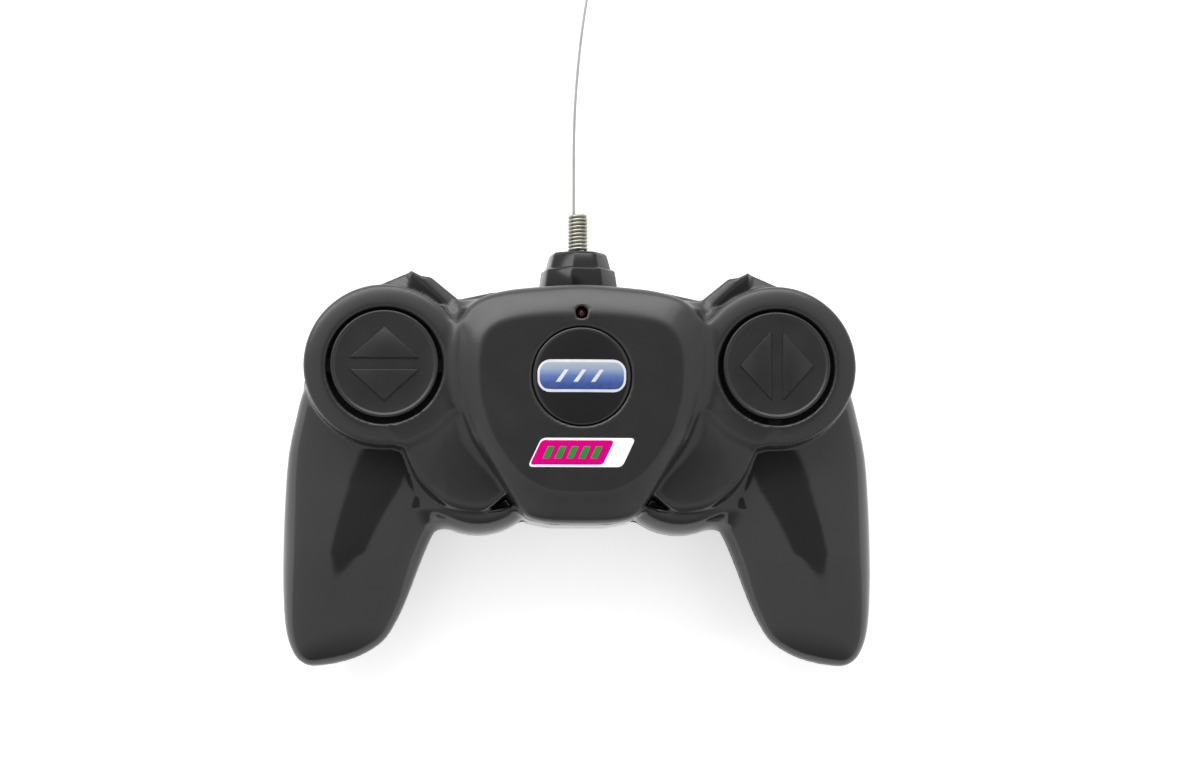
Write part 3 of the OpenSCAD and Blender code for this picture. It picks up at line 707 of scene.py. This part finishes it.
ZINC = metal("screw_steel", (0.5, 0.5, 0.5), (0.62, 0.62, 0.62), 0.3)
BRASS = metal("machined_brass", (0.62, 0.42, 0.15), (0.78, 0.57, 0.25), 0.25)
CAN = metal("can_metal", (0.55, 0.55, 0.56), (0.68, 0.68, 0.7), 0.3)
MAGENTA = film("stripe_film", (0.63, 0.0006, 0.2), (0.68, 0.0008, 0.22))
WHITE = film("label_white", (0.92, 0.92, 0.93), (0.97, 0.97, 0.97))
GREEN = film("label_green", (0.016, 0.25, 0.03), (0.022, 0.29, 0.036))
SILVER = film("label_silver", (0.6, 0.63, 0.68), (0.72, 0.74, 0.78))
BADGE_FILM = badge_label_material()

CAD_MATERIALS = {
    "front_shell": SHELL, "rear_shell": SHELL, "battery_door": DOOR,
    "left_rocker": PAD, "right_rocker": PAD,
    "left_rocker_retainer": RETAINER, "right_rocker_retainer": RETAINER,
    "left_pivot_pin": ZINC, "right_pivot_pin": ZINC,
    "left_keypad": RUBBER, "right_keypad": RUBBER,
    "badge_disc": BADGE, "badge_label": BADGE_FILM, "front_label": MAGENTA,
    "status_led": led_material(), "main_board": board_material(),
    "encoder_chip": EPOXY, "transistors": EPOXY, "filter_capacitor": SLEEVE,
    "quartz_crystal": CAN, "tuning_coil": CAN, "output_coil": CAN,
    "resistors": resistor_material(), "ceramic_capacitors": CERAMIC,
    "antenna_socket": BRASS, "antenna_lead": BLUE, "antenna_knob": KNOB, "antenna_stud": ZINC,
    "antenna_spring": NICKEL, "antenna_ferrule": NICKEL, "antenna_whip": WIRE, "antenna_tip": KNOB,
    "battery": battery_material(), "battery_terminals": CAN, "battery_snap": BLACK,
    "battery_lead_red": RED, "battery_lead_black": BLACK,
    "retainer_screws": ZINC, "board_screws": ZINC, "shell_screws": ZINC}
for name, mat in CAD_MATERIALS.items():
    nodes[name].data.materials.clear()
    nodes[name].data.materials.append(mat)


# ---------------------------------------------------------------- shells
def shell(node, field, low, high, step):
    """Skin of one shell between two heights; the step keeps it under 200,000 triangles."""
    verts, faces = surface(field, (0, -69.3, low), (76, 34.6, high), step)
    skin = mesh_object(node + "_skin", verts, faces)
    skin.data.materials.append(SHELL)
    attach(skin, "housing")
    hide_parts(node)


shell("front_shell", front_field, 16.34, 40.4, 0.66)
shell("rear_shell", rear_field, -0.71, 22, 0.71)


# ---------------------------------------------------------------- turned and bevelled pieces
def shift(x, y, z):
    return Matrix.Translation((x, y, z))


def moved(part, matrix):
    verts, faces = part
    return [tuple(matrix @ Vector(p)) for p in verts], faces


def join(parts):
    verts, faces = [], []
    for v, f in parts:
        faces += [[i + len(verts) for i in q] for q in f]
        verts += v
    return verts, faces


def stack(rings):
    """Quads between one ring of points and the next, as a part that is open at both ends."""
    n = len(rings[0])
    verts = [p for ring in rings for p in ring]
    faces = []
    for low in range(0, len(verts) - n, n):
        for i in range(n):
            j = (i + 1) % n
            faces.append([low + i, low + j, low + n + j, low + n + i])
    return verts, faces


def capped(part, n):
    """The part with its first and last rings of n points closed."""
    verts, faces = part
    return verts, faces + [list(range(n))[::-1], list(range(len(verts) - n, len(verts)))]


def lathe(profile, sides=96):
    """Solid of revolution about Z from (radius, height) points that start and end on the axis."""
    verts, faces, rows = [], [], []
    for r, z in profile:
        first = len(verts)
        if r < 1e-6:
            rows.append([first] * sides)
            verts.append((0, 0, z))
            continue
        rows.append(list(range(first, first + sides)))
        for k in range(sides):
            a = 2 * math.pi * k / sides
            verts.append((r * math.cos(a), r * math.sin(a), z))
    for a, b in zip(rows, rows[1:]):
        for k in range(sides):
            n = (k + 1) % sides
            corners = list(dict.fromkeys([a[k], a[n], b[n], b[k]]))
            if len(corners) > 2:
                faces.append(corners)
    return verts, faces


def round_corner(cx, cz, r, a0, a1, n=5):
    angles = [math.radians(a0 + (a1 - a0) * k / n) for k in range(n + 1)]
    return [(cx + r * math.cos(a), cz + r * math.sin(a)) for a in angles]


def inward(outline, d):
    """The outline, given counter-clockwise, moved in by d."""
    pts = np.array(outline, float)
    out = []
    for a, b, c in zip(np.roll(pts, 1, 0), pts, np.roll(pts, -1, 0)):
        t1 = (b - a) / np.linalg.norm(b - a)
        t2 = (c - b) / np.linalg.norm(c - b)
        n1, n2 = np.array([-t1[1], t1[0]]), np.array([-t2[1], t2[0]])
        out.append(b + (n1 + n2) * d / (1 + n1 @ n2))
    return out


def prism(outline, low, high, bevel, inset):
    """Raised figure with a sloping edge."""
    rings = [(0, low), (0, low + 0.02), (inset, high - bevel * 0.3), (inset * 1.6, high)]
    return capped(stack([[(*p, z) for p in inward(outline, d)] for d, z in rings]), len(outline))


def tidy_mesh(ob, degrees):
    """Turns the faces outwards and shades edges sharper than the angle as sharp."""
    bm = bmesh.new()
    bm.from_mesh(ob.data)
    bmesh.ops.recalc_face_normals(bm, faces=bm.faces)
    for e in bm.edges:
        if len(e.link_faces) == 2 and e.calc_face_angle(0) > math.radians(degrees):
            e.smooth = False
    bm.to_mesh(ob.data)
    bm.free()


def piece(name, part, material, body, replaces=(), angle=32):
    ob = mesh_object(name, *part)
    tidy_mesh(ob, angle)
    ob.data.materials.append(material)
    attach(ob, body)
    if replaces:
        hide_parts(*replaces)
    return ob


def turned(centre, turn):
    """A place in the plan with a turn about Z."""
    return shift(*centre, 0) @ Matrix.Rotation(turn, 4, "Z")


# ---------------------------------------------------------------- rocker pads and rubber mats
def rocker(name, centre, turn, body):
    """Pad with a rolled edge, two raised triangles, pushers below and a boss for its pin."""
    r = ROCKER_R
    low = 33.2
    top = ROCKER_Z - 0.35
    parts = [lathe([(0, low), (11.4, low), (11.4, 31.6), (12.6, 31.4), (12.6, 33), (r, low)]
                   + round_corner(r - 0.4, ROCKER_Z - 0.4, 0.4, 0, 90, 6)
                   + [(r - 0.62, ROCKER_Z - 0.03), (r - 0.78, ROCKER_Z - 0.14), (r - 0.95, top + 0.05),
                      (r - 1.2, top), (9, top + 0.05), (4, top + 0.07), (0, top + 0.07)], 128)]
    for side in (0, math.pi):
        triangle = prism([(-9.0, 1.35), (9.0, 1.35), (0, 9.5)], top - 0.2, top + 0.5, 0.2, 0.22)
        parts.append(moved(triangle, Matrix.Rotation(side, 4, "Z")))
    pin_boss = lathe([(0, -7.5), (2.2, -7.5), (2.2, 7.5), (0, 7.5)], 40)
    parts.append(moved(pin_boss, shift(0, 0, PIVOT_Z) @ Matrix.Rotation(math.pi / 2, 4, "Y")))
    pusher = lathe([(0, 27.12), (1.5, 27.12), (1.8, 27.4), (1.8, 33.3), (0, 33.3)], 32)
    parts += [moved(pusher, shift(0, y, 0)) for y in (-PUSHER_AT, PUSHER_AT)]
    web = [(-7.5, -1.4), (7.5, -1.4), (7.5, 1.4), (-7.5, 1.4)]
    parts.append(capped(stack([[(*p, z) for p in web] for z in (PIVOT_Z, 33.3)]), len(web)))
    piece(name, moved(join(parts), turned(centre, turn)), PAD, body,
          [body.replace("pad", "rocker")], 40)


def keypad(name, centre, turn):
    """Rubber mat with two domes, which the pushers of a rocker press flat."""
    mat_part = prism([(-4, -13), (4, -13), (4, 13), (-4, 13)], BOARD_TOP, BOARD_TOP + 0.8, 0.2, 0.15)
    dome_part = lathe([(0, 25.5), (3.6, 25.5), (3.55, 25.72), (3.3, 25.95), (2.5, 26.72), (2.25, 26.92),
                       (1.9, 27), (0, 27)], 48)
    parts = [mat_part] + [moved(dome_part, shift(0, y, 0)) for y in (-PUSHER_AT, PUSHER_AT)]
    ob = piece(name, moved(join(parts), turned(centre, turn)), RUBBER, "housing",
               [name.replace("_mat", "_keypad")], 40)
    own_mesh(ob)


LEFT = (-BOSS[0], BOSS[1])
rocker("left_rocker_pad", LEFT, 0, "left_pad")
rocker("right_rocker_pad", BOSS, math.pi / 2, "right_pad")
keypad("left_mat", LEFT, 0)
keypad("right_mat", BOSS, math.pi / 2)


# ---------------------------------------------------------------- badge and labels
def dome(r):
    """Height of the badge's dome at a distance from its middle."""
    return DOME_Z + math.sqrt(DOME_R ** 2 - r * r)


def dome_base(p):
    return dome(math.hypot(p[0], p[1] - BADGE_Y))


def flat_base(p):
    return PANEL_Z


def draped(outline, base, rise):
    """Thin film over a convex outline that follows base, the height of what it lies on."""
    spacing = 0.8
    rings = 8
    ends = np.array(outline, float)
    pts = []
    for a, b in zip(ends, np.roll(ends, -1, 0)):
        parts = max(1, math.ceil(np.linalg.norm(b - a) / spacing))
        pts += [a + (b - a) * k / parts for k in range(parts)]
    centre = np.mean(pts, 0)
    rows = [[(*p, base(p) - 0.05) for p in pts]]
    for k in range(rings):
        row = [centre + (p - centre) * (1 - k / rings) for p in pts]
        rows.append([(*q, base(q) + (rise if k else rise * 0.4)) for q in row])
    verts, faces = stack(rows)
    n = len(pts)
    last = len(verts) - n
    faces.append(list(range(n))[::-1])
    faces += [[last + i, last + (i + 1) % n, len(verts)] for i in range(n)]
    return verts + [(*centre, base(centre) + rise)], faces


def pill(w, h, cut):
    """Long plate with round corners, centred on the badge."""
    pts = []
    for sx, sy, a0 in ((1, 1, 0), (-1, 1, 90), (-1, -1, 180), (1, -1, 270)):
        pts += round_corner(sx * (w / 2 - cut), BADGE_Y + sy * (h / 2 - cut), cut, a0, a0 + 90, 6)
    return pts


def slanted(cx, w, h, slant, r, n=5):
    """Plate on the label's line with slanted ends and soft corners."""
    x, y = w / 2, h / 2
    corners = [(cx - x, LABEL_Y - y), (cx + x - slant, LABEL_Y - y), (cx + x, LABEL_Y + y),
               (cx - x + slant, LABEL_Y + y)]
    pts = np.array(corners, float)
    out = []
    for a, b, c in zip(np.roll(pts, 1, 0), pts, np.roll(pts, -1, 0)):
        p = b + (a - b) / np.linalg.norm(a - b) * r
        q = b + (c - b) / np.linalg.norm(c - b) * r
        for t in (k / n for k in range(n + 1)):
            out.append(tuple((1 - t) ** 2 * p + 2 * t * (1 - t) * b + t * t * q))
    return out


def bars(places, y, foot, head, base, rise):
    """Row of slanted bars; foot and head are each bar's left, right and height from its place."""
    parts = []
    for x in places:
        corners = [(x + foot[0], y + foot[2]), (x + foot[1], y + foot[2]),
                   (x + head[1], y + head[2]), (x + head[0], y + head[2])]
        parts.append(draped(corners, base, rise))
    return join(parts)


edge = dome(BADGE_R - 0.3) - 0.35
badge = lathe([(0, BADGE_LOW_Z), (BADGE_R, BADGE_LOW_Z), (BADGE_R, dome(BADGE_R) - 0.35)]
              + [(BADGE_R - 0.35 * (1 - math.cos(t)), edge + 0.35 * math.sin(t)) for t in (0.3, 0.7, 1.1)]
              + [(r, dome(r)) for r in np.linspace(BADGE_R - 0.4, 0, 18)], 144)
piece("badge_plate", moved(badge, shift(0, BADGE_Y, 0)), BADGE, "housing",
      ["badge_disc"], 50)
piece("badge_border", draped(pill(22.2, 8.2, 3.2), dome_base, 0.08), SILVER, "housing",
      ["badge_label"], 60)
piece("badge_field", draped(pill(21.1, 7.1, 2.7), dome_base, 0.14), BADGE_FILM, "housing",
      angle=60)
piece("badge_bars", bars((-4.4, 0.0, 4.4), BADGE_Y, (-2.3, -1.1, -1.7), (0.1, 1.2, 1.6), dome_base, 0.2),
      SILVER, "housing", angle=60)
piece("label_border", draped(slanted(0, 27.0, 7.3, 3.4, 1.3), flat_base, 0.05), WHITE, "housing",
      ["front_label"], 60)
piece("label_field", draped(slanted(-2.3, 21.4, 6.3, 3.0, 1.1), flat_base, 0.1), MAGENTA, "housing",
      angle=60)
piece("label_bars", bars([-8.6 + 3.0 * k for k in range(5)], LABEL_Y, (-1.3, 0.4, -1.6), (0.2, 1.9, 1.6),
                         flat_base, 0.16), GREEN, "housing", angle=60)


# ---------------------------------------------------------------- antenna
def along(part, y0):
    """Turns a part made along Z so that it points along +Y from y0, at the parting plane."""
    return moved(part, shift(0, y0, SPLIT) @ Matrix.Rotation(-math.pi / 2, 4, "X"))


def knob_part():
    """Eight-sided knob in two tiers, with softly rounded edges and a bore."""
    rows = [(9.9, 0.0), (10.3, 0.25), (10.4, 0.7), (9.8, 4.8), (9.62, 5.25), (9.25, 5.52), (8.75, 5.66),
            (8.58, 5.8), (8.5, 6.1), (7.75, 8.9), (7.5, 9.45), (7.05, 9.85), (6.4, 10.0), (2.8, 10.02)]
    turn = -11.5
    around = (-3.2, -1.1, 1.1, 3.2)
    flat = math.cos(math.radians(22.5))
    edge_points = []
    for k in range(8):
        for t in around:
            reach = flat / math.cos(math.radians(22.5 - abs(t))) * (1 - 0.012 * (1 - abs(t) / around[-1]))
            edge_points.append((reach, math.radians(turn + 45 * k + t)))
    rings = [[(r * reach * math.cos(a), r * reach * math.sin(a), z) for reach, a in edge_points]
             for r, z in rows]
    n = len(edge_points)
    bore_r = 1.62
    bore_turns = [math.radians(turn + around[0]) + 2 * math.pi * k / n for k in range(n)]
    for z in (rows[-1][1], rows[0][1]):
        rings.append([(bore_r * math.cos(a), bore_r * math.sin(a), z) for a in bore_turns])
    verts, faces = stack(rings)
    last = len(verts) - n
    faces += [[last + k, last + (k + 1) % n, (k + 1) % n, k] for k in range(n)]
    return verts, faces


def spring_part(length, radius, wire, turns, sides=10, per_turn=36):
    """Close-wound coil along Z whose last turn closes in over the top."""
    rings = []
    pitch = (length - 2 * wire) / turns
    for i in range(int(turns * per_turn) + 1):
        turn = i / per_turn
        a = 2 * math.pi * turn
        closing = max(0.0, turn - (turns - 0.9)) / 0.9
        z = wire + pitch * (turn - 0.35 * closing ** 2)
        middle = (radius - wire) * (1 - 0.5 * closing ** 1.5)
        ring = []
        for k in range(sides):
            b = 2 * math.pi * k / sides
            r = middle + wire * math.cos(b)
            ring.append((r * math.cos(a), r * math.sin(a), z + wire * math.sin(b)))
        rings.append(ring)
    return capped(stack(rings), sides)


piece("antenna_knob_body", along(knob_part(), KNOB_LOW_Y), KNOB, "knob", ["antenna_knob"], 28)
spring = piece("antenna_coil", along(spring_part(10.9, 2.6, 0.48, 10.6), SPRING_LOW_Y), NICKEL, "knob",
               angle=60)
# The coil is left without a parent, with its place baked into its mesh.
spring.parent = None
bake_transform(spring)
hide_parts("antenna_spring")


# ---------------------------------------------------------------- stage, light and camera
scene = bpy.context.scene


def floor_material():
    m = Nodes("floor_white")
    m.colour((0.88, 0.88, 0.88), (0.92, 0.92, 0.92), 6.0)
    m.set(Roughness=0.9, Specular_IOR_Level=0.0, Emission_Color=(1, 1, 1, 1), Emission_Strength=0.5)
    return m.mat


def tent():
    """White light tent with a dark opening above the object, where a camera would look in."""
    world = bpy.data.worlds.new("studio")
    scene.world = world
    world.use_nodes = True
    g = Graph(world.node_tree)
    x, y, z = g.split("Generated")
    opening = [g.maths("DIVIDE", g.maths("POWER", g.maths("SUBTRACT", axis, centre), 2.0), half * half)
               for axis, centre, half in ((x, 0.05, 0.3), (y, 0.04, 0.38))]
    bright = g.span(g.maths("ADD", *opening), 0.05, 0.85, 0.92, 1.1)
    dim_side = g.span(y, 0.3, 1.0, -0.97, -0.6)
    below = g.maths("LESS_THAN", z, 0.0)
    background = world.node_tree.nodes["Background"]
    g.link(g.maths("MAXIMUM", g.maths("MULTIPLY", bright, dim_side), below), background.inputs["Strength"])
    background.inputs["Color"].default_value = (1, 1, 1, 1)


def area_light(name, place, size, power):
    """Rectangular light in metres and watts, turned towards the object."""
    data = bpy.data.lights.new(name, "AREA")
    data.shape = "RECTANGLE"
    data.size, data.size_y = size
    data.energy = power
    ob = bpy.data.objects.new(name, data)
    scene.collection.objects.link(ob)
    ob.location = place
    ob.rotation_euler = (Vector((0, 0, 0.02)) - Vector(place)).to_track_quat("-Z", "Y").to_euler()


def camera(distance, azimuth, elevation, target, view_w):
    """Camera over the front face, in mm: azimuth swings it to +X, elevation to +Y; view_w is the
    width that it sees at the target."""
    data = bpy.data.cameras.new("camera")
    data.sensor_width = 36.0
    data.clip_end = 20
    data.lens = data.sensor_width * distance / view_w
    a, e = math.radians(azimuth), math.radians(elevation)
    back = Vector((math.sin(a) * math.cos(e), math.sin(e), math.cos(a) * math.cos(e)))
    right = Vector((0, 1, 0)).cross(back).normalized()
    pose = Matrix((right, back.cross(right), back)).transposed().to_4x4()
    pose.translation = (Vector(target) + back * distance) * MM
    ob = bpy.data.objects.new("camera", data)
    scene.collection.objects.link(ob)
    ob.matrix_world = pose
    scene.camera = ob


floor_corners = [(-3000, -3000, -0.3), (3000, -3000, -0.3), (3000, 3000, -0.3), (-3000, 3000, -0.3)]
floor = mesh_object("floor", floor_corners, [[0, 1, 2, 3]])
floor.data.materials.append(floor_material())
tent()
area_light("key_top", (-0.2, 0.7, 0.5), (1.5, 0.42), 9.5)
camera(850, -3.0, -5.5, (5.6, 3.5, 19), 307.6)
scene.view_settings.view_transform = "Standard"
